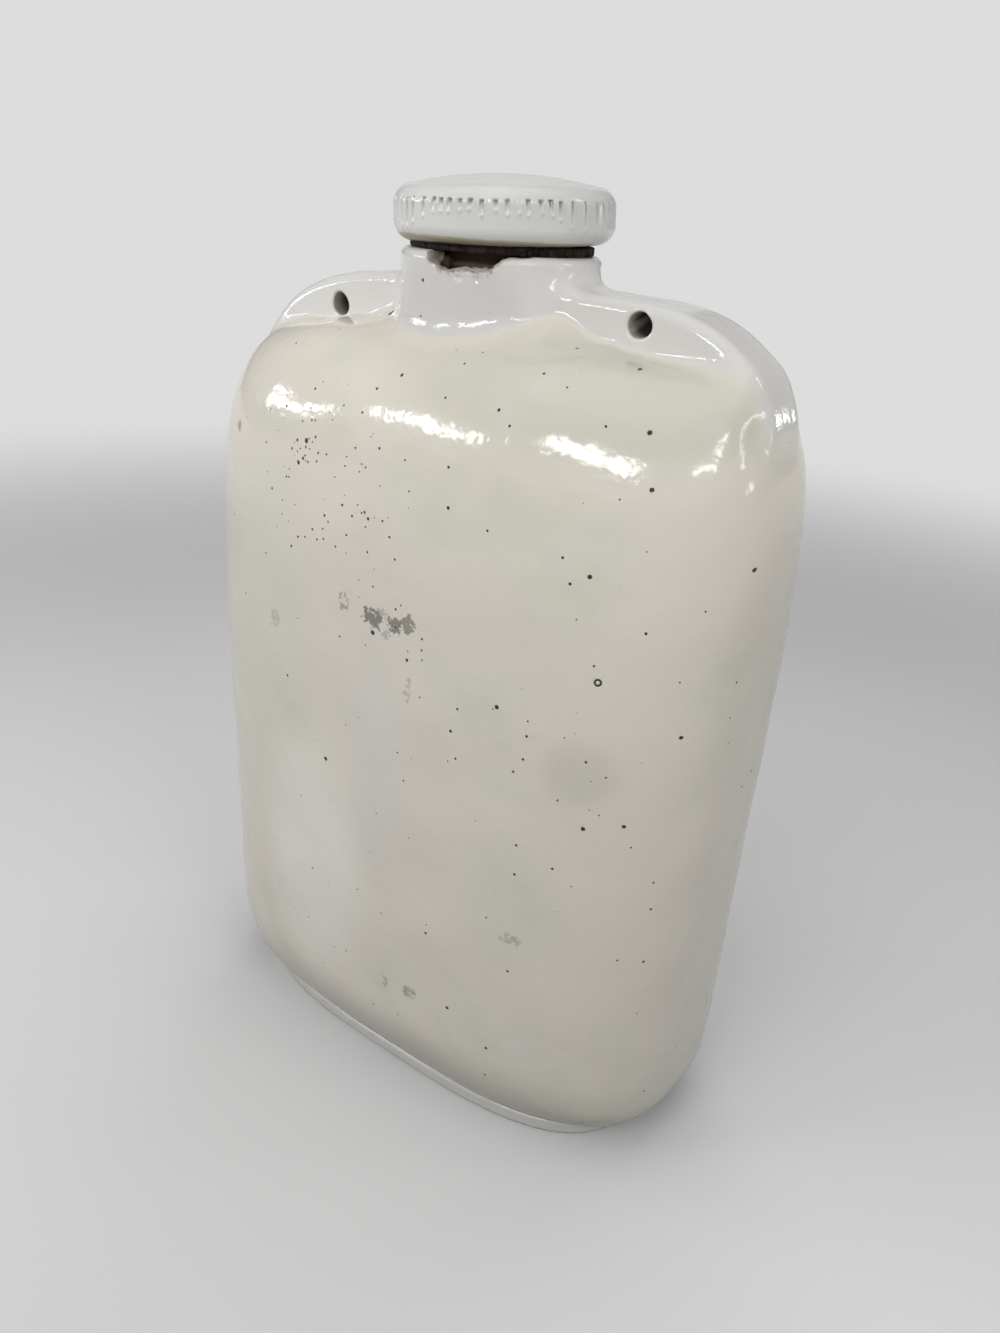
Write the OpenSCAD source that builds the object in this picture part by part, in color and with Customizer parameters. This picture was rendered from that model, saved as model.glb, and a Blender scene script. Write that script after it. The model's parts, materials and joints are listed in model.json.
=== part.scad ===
// Stoneware hot water bottle with a screw stopper.
// Millimetres, +Z up, origin at the middle of the foot, front face towards -Y.

/* [Body] */
// Width of the body at its widest level
body_w = 190; // [170:1:220]
// Width the straight sides would have at the foot
base_w = 181; // [170:1:188]
// Depth of the body from front face to back face
body_d = 101; // [92:1:112]
// Height of the widest level, where the top corners start
corner_z = 177; // [168:1:186]
// Height at which the shoulder starts to roll in from the front face
shoulder_z = 151; // [140:1:162]
// Height at which the shoulders close over, inside the neck
body_top_z = 242; // [239:0.5:246]
// How square the plan of the body is, 2 for an ellipse and more for a box
plan_power = 2.9; // [2.6:0.1:3.6]
// How square the plan is where the shoulders close
plan_power_top = 2.4; // [2.2:0.1:3]
// How square the top corners of the body are in the front view
corner_power = 4.4; // [3.4:0.1:4.8]
// How square the shoulders are in the side view
shoulder_power = 3.7; // [2.8:0.1:4.2]
// How far the bottom edge rounds in at the narrow sides
side_round_in = 15; // [12:0.5:17]
// How far up the bottom edge rounds at the narrow sides
side_round_up = 15.5; // [12:0.5:24]
// How far the bottom edge rounds in at the front and back
face_round_in = 16; // [13:0.5:18]
// How far up the bottom edge rounds at the front and back
face_round_up = 29; // [20:0.5:36]
// Thickness of the clay wall
wall = 7; // [5:0.5:9]

/* [Foot] */
// Width of the foot over its rim
foot_w = 157; // [152:1:164]
// Depth of the foot over its rim
foot_d = 80; // [75:1:84]
// Height of the foot
foot_h = 4.8; // [4:0.1:6]
// How square the plan of the foot is
foot_power = 3; // [2.4:0.1:3.6]
// Breadth of the rim that the bottle stands on
foot_rim = 9; // [7:0.5:12]
// Depth of the recess inside the rim
foot_recess = 2; // [1:0.25:2.5]

/* [Lugs] */
// Thickness of the cord lugs
lug_t = 20; // [16:0.5:24]
// How far the lugs stand in from the widest level of the body
lug_inset = 0.6; // [0.4:0.1:1.5]
// Height of the lugs' top edge above the top of the shoulders
lug_rise = 12.5; // [11.5:0.5:15]
// How square the outer corner of the lugs is
lug_power = 4; // [3.2:0.1:4.6]
// Rounding of the lugs' top edge
lug_round = 5; // [3:0.5:7]
// Diameter of the cord holes
cord_hole_d = 6.4; // [5:0.2:7]
// Distance of each cord hole from the middle of the neck
cord_hole_x = 52; // [48:0.5:58]
// Height of the left cord hole, pierced by hand, above the top of the shoulders
left_hole_rise = 2.3; // [2:0.1:4]
// Height of the right cord hole above the top of the shoulders
right_hole_rise = 5; // [3:0.1:5.5]

/* [Neck] */
// Outer diameter of the neck
neck_d = 55.7; // [54:0.1:60]
// Height of the rim on which the washer seals, above the lugs' top edge
neck_rise = 6.9; // [5:0.1:12]
// Rounding of the neck's outer top edge
rim_round = 2.2; // [1:0.2:3]
// Size of the fillets where the neck meets the shoulders and the lugs
neck_fillet = 5; // [3:0.5:6]
// Diameter of the neck's bore, at the bottom of its thread
neck_bore_d = 41; // [40:0.5:43]

/* [Stopper] */
// Diameter of the grip head
head_d = 60; // [58:0.5:66]
// Height of the head in its middle
head_h = 17.2; // [16:0.2:20]
// Rise of the head's domed top
head_dome = 2.8; // [1:0.2:4]
// Rounding of the head's top edge
head_top_round = 5; // [3.5:0.25:6]
// Rounding of the head's bottom edge
head_bottom_round = 4.7; // [3.5:0.1:6]
// Number of grip notches round the head
notches = 60; // [48:1:66]
// Diameter of the rod that presses the notches
notch_d = 2; // [1.6:0.1:2.4]
// Depth of a notch at its upper end
notch_depth = 0.9; // [0.6:0.1:1.2]
// Length of a notch down the side of the head
notch_len = 6; // [4:0.5:7]
// Distance from the underside of the head to the notches' upper end
notch_top = 11.4; // [10:0.1:11.6]
// Diameter of the shank at the root of its thread
shank_d = 38; // [37:0.25:39]
// Length of the shank under the head
shank_l = 24; // [21:0.5:25]
// Chamfer on the tip of the shank
shank_chamfer = 2; // [1:0.5:3]

/* [Washer] */
// Thickness of the washer between the rim and the head
washer_t = 2.4; // [2:0.1:3.5]
// Outer diameter of the washer
washer_d = 51; // [48:0.5:52]
// Clearance between the washer's hole and the shank's root
washer_clear = 1.5; // [1.2:0.1:1.8]

/* [Hidden] */

plan_points = 64;
body_rings = 26;
cavity_points = 48;
cavity_rings = 16;
lug_points = 28;
lug_rings = 4;
arc_steps = 6;
round_fn = 96;
overlap = 1;

lug_top_z = body_top_z + lug_rise;
lug_h = lug_top_z - corner_z;
rim_z = lug_top_z + neck_rise;
neck_r = neck_d / 2;
bore_r = neck_bore_d / 2;
head_r = head_d / 2;
head_z = rim_z + washer_t;
head_side_h = head_h - head_dome;
lug_fillet = min(neck_fillet, neck_rise - rim_round);

glaze = [0.80, 0.79, 0.74];
glaze_white = [0.84, 0.84, 0.80];
perished_rubber = [0.16, 0.11, 0.09];

// Share of the full size that is left at the fraction t of the way into a rounding
function rounded(t, power) = pow(max(0, 1 - pow(max(0, t), power)), 1 / power);

// Half of the body's width and depth at the height z, and the power of its plan there
function side(z) = (base_w + (body_w - base_w) * min(1, z / corner_z)) / 2;
function bottom_in(z, in, up) = in * (1 - rounded((foot_h + up - z) / up, 2));
function half_w(z) =
    side(z) * rounded((z - corner_z) / (body_top_z - corner_z), corner_power)
    - bottom_in(z, side_round_in, side_round_up);
function half_d(z) =
    body_d / 2 * rounded((z - shoulder_z) / (body_top_z - shoulder_z), shoulder_power)
    - bottom_in(z, face_round_in, face_round_up);
function power_at(z) =
    plan_power
    + (plan_power_top - plan_power) * max(0, z - shoulder_z) / (body_top_z - shoulder_z);

// Height of the front shoulder at the distance y from the middle
function shoulder_at(y) =
    shoulder_z + (body_top_z - shoulder_z) * rounded(2 * y / body_d, shoulder_power);

// Point of a superellipse with half sizes a and b at the angle t
function oval(a, b, power, t) = [
    a * sign(cos(t)) * pow(abs(cos(t)), 2 / power),
    b * sign(sin(t)) * pow(abs(sin(t)), 2 / power)
];

// Closed ring of points on a superellipse at the height z
function ring(a, b, power, z, count) = [
    for (i = [0 : count - 1]) concat(oval(a, b, power, 360 * i / count), z)
];

// Points of an arc of radius r about the point c, from the angle a0 to the angle a1
function arc(c, r, a0, a1) = [
    for (i = [0 : arc_steps])
        let (a = a0 + (a1 - a0) * i / arc_steps)
        c + r * [cos(a), sin(a)]
];

// Points of a smooth curve that leaves p0 and reaches p2 in line with p1
function blend_curve(p0, p1, p2) = [
    for (i = [0 : arc_steps])
        let (t = i / arc_steps)
        (1 - t) * (1 - t) * p0 + 2 * t * (1 - t) * p1 + t * t * p2
];

// Solid that joins closed rings of equal count, from the lowest to the highest
module loft(rings) {
    count = len(rings[0]);
    last = len(rings) - 1;
    points = [for (r = rings) for (p = r) p];
    sides = [
        for (k = [0 : last - 1])
            for (i = [0 : count - 1])
                let (a = k * count + i, b = k * count + (i + 1) % count)
                each [[a, a + count, b + count], [a, b + count, b]]
    ];
    bottom = [for (i = [0 : count - 1]) i];
    top = [for (i = [count - 1 : -1 : 0]) last * count + i];
    polyhedron(points = points, faces = concat([bottom, top], sides), convexity = 8);
}

// Shares from 0 to 1 that lie closer together near both ends
function eased(k, count) = (1 - cos(180 * k / count)) / 2;

// The closed body, before it is hollowed, from inside the foot to just under the closing point
module body_form() {
    low = foot_h - overlap;
    high = body_top_z - overlap / 4;
    loft([
        for (k = [0 : body_rings])
            let (z = low + (high - low) * eased(k, body_rings))
            ring(half_w(z), half_d(z), power_at(z), z, plan_points)
    ]);
}

// The space for the water, one wall inside the body, with its top as wide as the neck's bore
module cavity() {
    outer_top = shoulder_at(bore_r + wall);
    floor_z = foot_h + wall;
    roof_z = outer_top - wall / 2;
    loft([
        for (k = [0 : cavity_rings])
            let (
                t = eased(k, cavity_rings),
                outer_z = foot_h + (outer_top - foot_h) * t,
                z = floor_z + (roof_z - floor_z) * t
            )
            ring(half_w(outer_z) - wall, half_d(outer_z) - wall, power_at(outer_z), z, cavity_points)
    ]);
}

// Both lugs, as one plate that runs through the neck and down into the body
module lug_plate() {
    flat = lug_t / 2 - lug_round;
    insets = [for (k = [0 : lug_rings]) let (a = 90 * k / lug_rings) [
        lug_round * (1 - cos(a)), flat + lug_round * sin(a)
    ]];
    levels = concat(
        [for (k = [lug_rings : -1 : 0]) [insets[k][0], -insets[k][1]]],
        [for (k = [0 : lug_rings]) insets[k]]
    );
    rotate([90, 0, 0]) loft([
        for (level = levels) [
            for (i = [0 : lug_points])
                let (
                    inset = level[0],
                    a = body_w / 2 - lug_inset - inset,
                    p = oval(a, lug_h - inset, lug_power, 180 * i / lug_points)
                )
                [p[0], corner_z + max(0, p[1]), level[1]]
        ]
    ]);
}

// Fillets that carry the lugs' top edge up to the neck
module lug_fillets() {
    x1 = neck_r + lug_fillet;
    z1 = lug_top_z + lug_fillet;
    corner = blend_curve([neck_r, z1], [neck_r, lug_top_z], [x1, lug_top_z]);
    inner = neck_r - lug_fillet;
    points = concat([[inner, lug_top_z - lug_round], [inner, z1]], corner, [[x1, lug_top_z - lug_round]]);
    for (way = [0, 1])
        mirror([way, 0, 0])
            rotate([90, 0, 0])
                linear_extrude(height = lug_t - 2 * lug_round, center = true)
                    polygon(points);
}

// The neck, with its rounded rim and the flare on which it stands on the shoulders
module neck() {
    root_z = shoulder_at(neck_r);
    flare_r = neck_r + neck_fillet;
    flare_z = shoulder_at(flare_r) - overlap / 2;
    rim = arc([neck_r - rim_round, rim_z - rim_round], rim_round, 90, 0);
    flare = blend_curve([neck_r, root_z + neck_fillet / 2], [neck_r, root_z], [flare_r, flare_z]);
    points = concat([[0, rim_z]], rim, flare, [[0, flare_z]]);
    rotate_extrude($fn = round_fn) polygon(points);
}

// The foot, a low oval step with a recess inside its rim
module foot() {
    difference() {
        loft([
            ring(foot_w / 2, foot_d / 2, foot_power, 0, plan_points),
            ring(foot_w / 2, foot_d / 2, foot_power, foot_h, plan_points)
        ]);
        loft([
            ring(foot_w / 2 - foot_rim, foot_d / 2 - foot_rim, foot_power, -overlap, plan_points),
            ring(foot_w / 2 - foot_rim, foot_d / 2 - foot_rim, foot_power, foot_recess, plan_points)
        ]);
    }
}

module cord_hole(x, rise) {
    translate([x, 0, body_top_z + rise])
        rotate([90, 0, 0])
            cylinder(d = cord_hole_d, h = lug_t + 2 * overlap, center = true, $fn = 32);
}

module bottle() {
    bore_z = shoulder_at(bore_r + wall) - wall / 2 - overlap;
    color(glaze) difference() {
        union() {
            body_form();
            lug_plate();
            lug_fillets();
            neck();
            foot();
        }
        cavity();
        translate([0, 0, bore_z]) cylinder(d = neck_bore_d, h = rim_z - bore_z + overlap, $fn = round_fn);
        cord_hole(-cord_hole_x, left_hole_rise);
        cord_hole(cord_hole_x, right_hole_rise);
    }
}

// Half section of the stopper, from the middle of its dome to the tip of its shank
module stopper_profile() {
    chord = head_r - head_top_round;
    sphere_r = (chord * chord + head_dome * head_dome) / (2 * head_dome);
    dome_a = asin(chord / sphere_r);
    dome = arc([0, head_h - sphere_r], sphere_r, 90, 90 - dome_a);
    top = arc([chord, head_side_h - head_top_round], head_top_round, 90, 0);
    bottom = arc([head_r - head_bottom_round, head_bottom_round], head_bottom_round, 0, -90);
    polygon(concat(
        dome,
        top,
        bottom,
        [
            [shank_d / 2, 0],
            [shank_d / 2, shank_chamfer - shank_l],
            [shank_d / 2 - shank_chamfer, -shank_l],
            [0, -shank_l]
        ]
    ));
}

// One pressed notch, deep at its upper end and running out down the side
module notch() {
    tilt = atan(notch_depth / notch_len);
    translate([head_r - notch_depth + notch_d / 2, 0, notch_top])
        rotate([0, 180 - tilt, 0])
            cylinder(d = notch_d, h = notch_len + notch_d, $fn = 16);
}

module stopper() {
    color(glaze_white) translate([0, 0, head_z]) difference() {
        rotate_extrude($fn = round_fn) stopper_profile();
        for (i = [0 : notches - 1]) rotate([0, 0, 360 * i / notches]) notch();
    }
}

module washer() {
    hole_d = shank_d + 2 * washer_clear;
    color(perished_rubber) translate([0, 0, rim_z]) difference() {
        cylinder(d = washer_d, h = washer_t, $fn = round_fn);
        translate([0, 0, -overlap]) cylinder(d = hole_d, h = washer_t + 2 * overlap, $fn = round_fn);
    }
}

bottle();
stopper();
washer();
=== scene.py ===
import json
import math

import bpy
import numpy as np
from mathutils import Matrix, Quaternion, Vector


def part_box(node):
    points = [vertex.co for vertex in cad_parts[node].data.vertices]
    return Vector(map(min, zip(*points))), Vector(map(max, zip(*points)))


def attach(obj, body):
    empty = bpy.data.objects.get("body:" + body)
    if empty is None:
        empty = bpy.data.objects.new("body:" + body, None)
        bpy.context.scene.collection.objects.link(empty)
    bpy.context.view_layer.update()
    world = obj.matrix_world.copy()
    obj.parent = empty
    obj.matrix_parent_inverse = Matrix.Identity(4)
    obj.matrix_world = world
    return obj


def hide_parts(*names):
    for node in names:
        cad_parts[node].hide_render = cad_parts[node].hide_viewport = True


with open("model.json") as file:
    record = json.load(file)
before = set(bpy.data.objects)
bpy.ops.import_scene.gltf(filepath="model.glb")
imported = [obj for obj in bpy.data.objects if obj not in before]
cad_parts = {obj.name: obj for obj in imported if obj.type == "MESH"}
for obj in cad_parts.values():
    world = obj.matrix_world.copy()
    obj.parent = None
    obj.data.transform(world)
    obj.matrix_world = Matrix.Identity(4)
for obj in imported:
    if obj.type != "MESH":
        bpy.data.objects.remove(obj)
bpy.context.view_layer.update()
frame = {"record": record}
bore_mounts = {m["name"]: m for m in frame["record"]["mounts"] if m["kind"] == "bore"}


# ---- Bottle ---------------------------------------------------------------------------------
# The flask itself: stoneware pressed as one piece, with two cord lugs, a short neck and a low
# foot, all joined by the soft fillets that a sponge leaves in wet clay. Dipped in a cream glaze
# that is bare on the foot, in the cord holes and where the rim is chipped. Sizes in millimetres.

MM = 0.001

low, high = (np.array(corner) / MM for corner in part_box("bottle"))
half_w, half_d, rim_z = high[0], high[1], high[2]
foot_w, foot_d, foot_h, foot_rim, foot_recess = 157.0, 80.0, 4.8, 9.0, 2.0
base_half_w = 90.5
corner_z, shoulder_z, top_z = 177.0, 151.0, 242.0
plan_power, plan_power_top, corner_power, shoulder_power = 2.9, 2.4, 4.4, 3.7
bottom_rounding_side = (15.0, 15.5)
bottom_rounding_face = (16.0, 29.0)
wall = 7.0
lug_half_w, lug_top_z, lug_t, lug_round, lug_power = 94.4, 254.5, 20.0, 3.6, 4.0
neck_r, rim_round, bore_r = 27.85, 2.2, 20.5
thread_pitch = 6.0
lean = 0.0222                      # the right shoulder stands higher than the left by this slope
cord_hole_r = 3.3
cord_holes = [(-53.0, 242.4), (51.7, 247.8)]
chip_ends = (-98.5, -49.0)         # degrees round the rim
chip_floor = [(-99.0, 262.4), (-98.0, 259.8), (-94.7, 258.6), (-86.8, 256.9), (-82.7, 256.6),
              (-69.0, 256.7), (-60.0, 256.8), (-57.0, 257.5), (-55.0, 258.4), (-52.0, 260.2),
              (-48.0, 260.7), (-42.0, 260.8), (-36.0, 261.2), (-31.0, 262.2)]
chip_slope = [(-98.0, -0.16), (-90.0, -0.12), (-82.0, 0.14), (-56.0, 0.12), (-50.0, 0.0)]


def ease(t):
    t = np.clip(t, 0, 1)
    return t * t * (3 - 2 * t)


def join(a, b, k):
    """Union of two clay forms whose crease is filled to the size k."""
    h = np.maximum(k - np.abs(a - b), 0) / k
    return np.minimum(a, b) - h * h * k / 4


def cut(form, tool, k):
    """The form less the tool, with the new edge softened to the size k."""
    return -join(-form, tool, k)


def left_of(t, power):
    return np.maximum(1 - np.maximum(t, 0) ** power, 1e-9) ** (1 / power)


def sections(z):
    """Half width, half depth and squareness of the body's plan at the height z."""
    side = base_half_w + (half_w - base_half_w) * np.minimum(z / corner_z, 1)
    in_x, up_x = bottom_rounding_side
    in_y, up_y = bottom_rounding_face
    a = side * left_of((z - corner_z) / (top_z - corner_z), corner_power)
    a = a - in_x * (1 - left_of((foot_h + up_x - z) / up_x, 2))
    b = half_d * left_of((z - shoulder_z) / (top_z - shoulder_z), shoulder_power)
    b = b - in_y * (1 - left_of((foot_h + up_y - z) / up_y, 2))
    n = plan_power + (plan_power_top - plan_power) * np.maximum(z - shoulder_z, 0) / (top_z - shoulder_z)
    return a, b, n


def oval_gap(x, y, a, b, n, da=0.0, db=0.0):
    """Distance to an upright oval wall whose half sizes change by da and db a millimetre of height."""
    x, y = np.abs(x) + 1e-6, np.abs(y) + 1e-6
    u, v = (x / a) ** n, (y / b) ** n
    f = (u + v) ** (1 / n)
    s = f / (u + v)
    slope = np.sqrt((s * u / x) ** 2 + (s * v / y) ** 2 + (s * (u * da / a + v * db / b)) ** 2)
    return (f - 1) / slope


class ShoulderTop:
    """Height of the shoulders over the plan, found once by halving and then read off."""
    step = 0.7

    def __init__(self):
        gx = np.arange(0, half_w + 4, self.step)
        gy = np.arange(0, half_d + 4, self.step)
        x, y = np.meshgrid(gx, gy, indexing="ij")
        lo, hi = np.full(x.shape, shoulder_z), np.full(x.shape, top_z)
        for _ in range(34):
            mid = (lo + hi) / 2
            a, b, n = sections(np.minimum(mid, top_z - 1e-3))
            outside = (x / a) ** n + (y / b) ** n > 1
            hi = np.where(outside, mid, hi)
            lo = np.where(outside, lo, mid)
        self.h = (lo + hi) / 2
        sx, sy = np.gradient(self.h, self.step)
        self.slope = np.minimum(np.hypot(sx, sy), 6)

    def read(self, x, y):
        u, v = np.abs(x) / self.step, np.abs(y) / self.step
        u, v = np.minimum(u, self.h.shape[0] - 1.001), np.minimum(v, self.h.shape[1] - 1.001)
        i, j = u.astype(int), v.astype(int)
        u, v = u - i, v - j
        def mix(g):
            return ((1 - u) * ((1 - v) * g[i, j] + v * g[i, j + 1])
                    + u * ((1 - v) * g[i + 1, j] + v * g[i + 1, j + 1]))
        return mix(self.h), mix(self.slope)


shoulder_top = ShoulderTop()
rng = np.random.default_rng(17)
swells = [(rng.normal(size=3) * 2 * math.pi / rng.uniform(34, 80), rng.uniform(0, 6.3)) for _ in range(7)]


def waviness(x, y, z):
    return sum(np.sin(w[0] * x + w[1] * y + w[2] * z + p) for w, p in swells)


def body_gap(x, y, z):
    zc = np.clip(z, foot_h, top_z - 0.4)
    a, b, n = sections(zc)
    a1, b1, _ = sections(zc + 0.2)
    side = oval_gap(x, y, a, b, n, (a1 - a) / 0.2, (b1 - b) / 0.2)
    h, slope = shoulder_top.read(x, y)
    rho = np.hypot(x, y) + 1e-6
    beside_lug = ease((60 - np.degrees(np.arccos(np.minimum(np.abs(x) / rho, 1)))) / 50) * ease((43 - rho) / 15)
    h = h + (3.0 + 3.4 * ease((x + 20) / 40)) * beside_lug     # clay thumbed up into the neck's corners
    top = (z - h) / np.sqrt(1 + slope * slope)
    w = ease((z - 222) / 14)
    return (1 - w) * side + w * top


def lug_gap(x, y, z):
    a = lug_half_w - 1.8 * ease(-x / 40) - 7 * ease((228 - z) / 30)
    x, up = np.abs(x) + 1e-6, np.maximum(z - corner_z, 0) + 1e-6
    u, v = (x / a) ** lug_power, (up / (lug_top_z - corner_z)) ** lug_power
    f = (u + v) ** (1 / lug_power)
    s = f / (u + v)
    edge = (f - 1) / np.sqrt((s * u / x) ** 2 + (s * v / up) ** 2) + lug_round
    face = np.maximum(np.abs(y) - lug_t / 2, 160 - z) + lug_round
    return np.hypot(np.maximum(edge, 0), np.maximum(face, 0)) + np.minimum(np.maximum(edge, face), 0) - lug_round


def thread_wave(theta, z):
    return np.cos(2 * math.pi * (z / thread_pitch) - theta)


def chip_gap(theta, rho, z):
    """Distance to the piece broken out of the rim: a slanting break on the left, a level one beyond."""
    degrees = np.degrees(theta)
    floor = np.interp(degrees, *zip(*chip_floor))
    ragged = 0.25 * np.sin(degrees * 0.9 + rho) + 0.18 * np.sin(degrees * 2.3 - 1.7 * rho + 1)
    ragged = ragged + 0.12 * np.sin(degrees * 5.1 + 2.6 * rho)
    inside = (neck_r - rho) * np.interp(degrees, *zip(*chip_slope))
    return (floor + ragged * ease((-50 - degrees) / 6) + inside - z) * 0.8


def flake(theta, z):
    """Depth of the shallow shell that flew off below the chip and was glazed over."""
    degrees = np.degrees(theta)
    ragged = 0.35 * np.sin(degrees * 1.7) + 0.25 * np.sin(degrees * 3.1 + 1)
    return (0.5 * np.exp(-((degrees + 76) / 3.0) ** 2 - ((z - 255.5 + ragged) / 0.8) ** 2)
            + 0.4 * np.exp(-((degrees + 65) / 2.8) ** 2 - ((z - 255.5 + ragged) / 0.7) ** 2))


def body_and_top(x, y, z):
    """Distances to the rounded body, and to the lugs and neck that rise from it."""
    zl = z - lean * x * ease((z - 150) / 95)
    body = body_gap(x, y, zl) + 0.05 * waviness(x, y, z)
    pressed = 0.8 * ease((np.abs(x) - 44) / 8) * ease((68 - np.abs(x)) / 12)
    body = body + pressed * np.exp(-(np.maximum(np.abs(y) - 10, 0) / 8) ** 2) * ease((zl - 225) / 12)
    swept = (0.6 + 2.4 * ease(0.5 + x / 40)) * ease((np.abs(x) - 62) / 22) * ease((93 - np.abs(x)) / 10) * np.exp(-(np.maximum(np.abs(y) - 10, 0) / 12) ** 2)
    body = body - swept * ease((zl - 219) / 12)               # clay swept up against the lug's outer end
    sunk = 1.0 * ease((62 - x) / 20) * ease(x / 8)
    lug = lug_gap(x, y, zl + sunk) + 0.04 * waviness(z, x, y)
    rho, theta = np.hypot(x, y), np.arctan2(y, x)
    qx, qz = rho - neck_r + rim_round, z - rim_z + rim_round
    neck = np.hypot(np.maximum(qx, 0), np.maximum(qz, 0)) + np.minimum(np.maximum(qx, qz), 0) - rim_round
    neck = neck + flake(theta, z) * (rho > 24)
    return body, join(lug, neck, 7.5)


def clay_gap(x, y, z):
    """Signed distance to the whole bottle, negative in the clay."""
    body, upper = body_and_top(x, y, z)
    rho, theta = np.hypot(x, y) + 1e-6, np.arctan2(y, x)
    front = ease((0.86 + 0.2 * ease(-x / 10) - np.abs(x) / rho) / 0.25) * ease((44 - rho) / 8)
    along = (2.4 * ease((np.abs(x) - 54) / 20) + 2.6 * ease((np.abs(x) - 72) / 12)) * (1 - 0.85 * ease((np.abs(x) - 83) / 8))
    solid = join(np.maximum(body, foot_h - 1 - z), upper, 0.6 + (1.4 * ease(0.5 + x / 20) + 5.2 * front + along) * ease((z - 211) / 20))
    edge = oval_gap(x, y, foot_w / 2, foot_d / 2, 3.0) + 0.8
    level = np.abs(z - foot_h / 2) - foot_h / 2 + 0.8
    foot = np.hypot(np.maximum(edge, 0), np.maximum(level, 0)) + np.minimum(np.maximum(edge, level), 0) - 0.8
    solid = join(solid, foot, 0.7)
    recess = np.maximum(oval_gap(x, y, foot_w / 2 - foot_rim, foot_d / 2 - foot_rim, 3.0), z - foot_recess)
    solid = cut(solid, recess, 0.8)
    hollow = -join(-(body + wall), -(foot_h + wall - z), 12)
    fade = ease((z - 238) / 3) * ease((258.6 - z) / 2)
    bore = bore_r - 0.65 * fade * (1 - thread_wave(theta, z)) + 0.8 * ease((z - 259.6) / 1.8)
    hollow = join(hollow, np.maximum(rho - bore, 231 - z), 3)
    solid = cut(solid, hollow, 0.6)
    for hx, hz in cord_holes:
        turn = np.arctan2(z - hz, x - hx)
        hole = np.hypot(x - hx, z - hz) - cord_hole_r - 0.14 * np.sin(2 * turn + hx) - 0.1 * np.sin(3 * turn + 0.4 * y)
        solid = cut(solid, np.maximum(hole, np.abs(y) - 20), 0.9)
    near = np.maximum(np.abs(theta + 1.3) - 0.9, 0) * 40
    chip = np.maximum(np.maximum(chip_gap(theta, rho, z), near), 15 - rho)
    return cut(solid, chip, 0.3)


def slopes(gap, p, h=0.02):
    """Value and gradient of a distance field at many points."""
    g = np.stack([(gap(*(p + h * e).T) - gap(*(p - h * e).T)) / (2 * h) for e in np.eye(3)], 1)
    return gap(*p.T), g


def settle(gap, p, rounds, reach=0.6):
    for _ in range(rounds):
        v, g = slopes(gap, p)
        move = g * (v / np.maximum((g * g).sum(1), 0.05))[:, None]
        size = np.linalg.norm(move, axis=1, keepdims=True)
        p = p - move * np.minimum(1, reach / np.maximum(size, 1e-9))
    return p


def skin(gap, xs, ys, zs):
    """Closed quad mesh of the surface where the distance is nought, on a grid that may be uneven."""
    axes = (xs, ys, zs)
    value = np.concatenate([gap(*np.meshgrid(part, ys, zs, indexing="ij")) for part in np.array_split(xs, 12)])
    inside = value < 0
    cells = tuple(n - 1 for n in value.shape)
    corner = [inside[i:i + cells[0], j:j + cells[1], k:k + cells[2]]
              for i in (0, 1) for j in (0, 1) for k in (0, 1)]
    mixed = np.logical_or.reduce(corner) & ~np.logical_and.reduce(corner)
    at = np.argwhere(mixed)
    number = np.full(cells, -1)
    number[tuple(at.T)] = np.arange(len(at))
    total, count = np.zeros((len(at), 3)), np.zeros(len(at))
    for axis in range(3):
        side_axes = [a for a in range(3) if a != axis]
        for da in (0, 1):
            for db in (0, 1):
                start = at.copy()
                start[:, side_axes[0]] += da
                start[:, side_axes[1]] += db
                end = start.copy()
                end[:, axis] += 1
                v0, v1 = value[tuple(start.T)], value[tuple(end.T)]
                hit = (v0 < 0) != (v1 < 0)
                t = (v0 / np.where(hit, v0 - v1, 1))[hit]
                for a in range(3):
                    c0, c1 = axes[a][start[hit, a]], axes[a][end[hit, a]]
                    total[hit, a] += c0 + t * (c1 - c0)
                count[hit] += 1
    points = total / count[:, None]
    quads = []
    for axis in range(3):
        b, c = (axis + 1) % 3, (axis + 2) % 3
        first = np.moveaxis(inside, axis, 0)[:-1]
        second = np.moveaxis(inside, axis, 0)[1:]
        flips = np.moveaxis(first != second, 0, axis)
        edge = np.argwhere(flips)
        edge = edge[(edge[:, b] > 0) & (edge[:, c] > 0)]
        ring = []
        for ob, oc in ((1, 1), (0, 1), (0, 0), (1, 0)):
            cell = edge.copy()
            cell[:, b] -= ob
            cell[:, c] -= oc
            ring.append(number[tuple(cell.T)])
        quad = np.stack(ring, 1)
        leaving = inside[tuple(edge.T)]
        quads.append(np.where(leaving[:, None], quad, quad[:, ::-1]))
    return points, np.concatenate(quads)


def relax(p, quads, share):
    """Each point moves part of the way to the middle of its neighbours."""
    total, count = np.zeros_like(p), np.zeros(len(p))
    for a, b in ((0, 1), (1, 2), (2, 3), (3, 0)):
        for m, n in ((a, b), (b, a)):
            np.add.at(total, quads[:, m], p[quads[:, n]])
            np.add.at(count, quads[:, m], 1)
    return p + share * (total / count[:, None] - p)


def graded(*spans):
    """Grid lines from spans of (start, end, spacing)."""
    lines = [np.linspace(a, b, max(2, round((b - a) / step) + 1)) for a, b, step in spans]
    return np.unique(np.round(np.concatenate(lines), 6))


def make_piece(name, points, faces, body, material, smooth=True):
    mesh = bpy.data.meshes.new(name)
    mesh.from_pydata((points * MM).tolist(), [], [list(map(int, f)) for f in faces])
    mesh.polygons.foreach_set("use_smooth", [smooth] * len(mesh.polygons))
    mesh.materials.append(material)
    piece = bpy.data.objects.new(name, mesh)
    bpy.context.scene.collection.objects.link(piece)
    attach(piece, body)
    return piece


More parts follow.
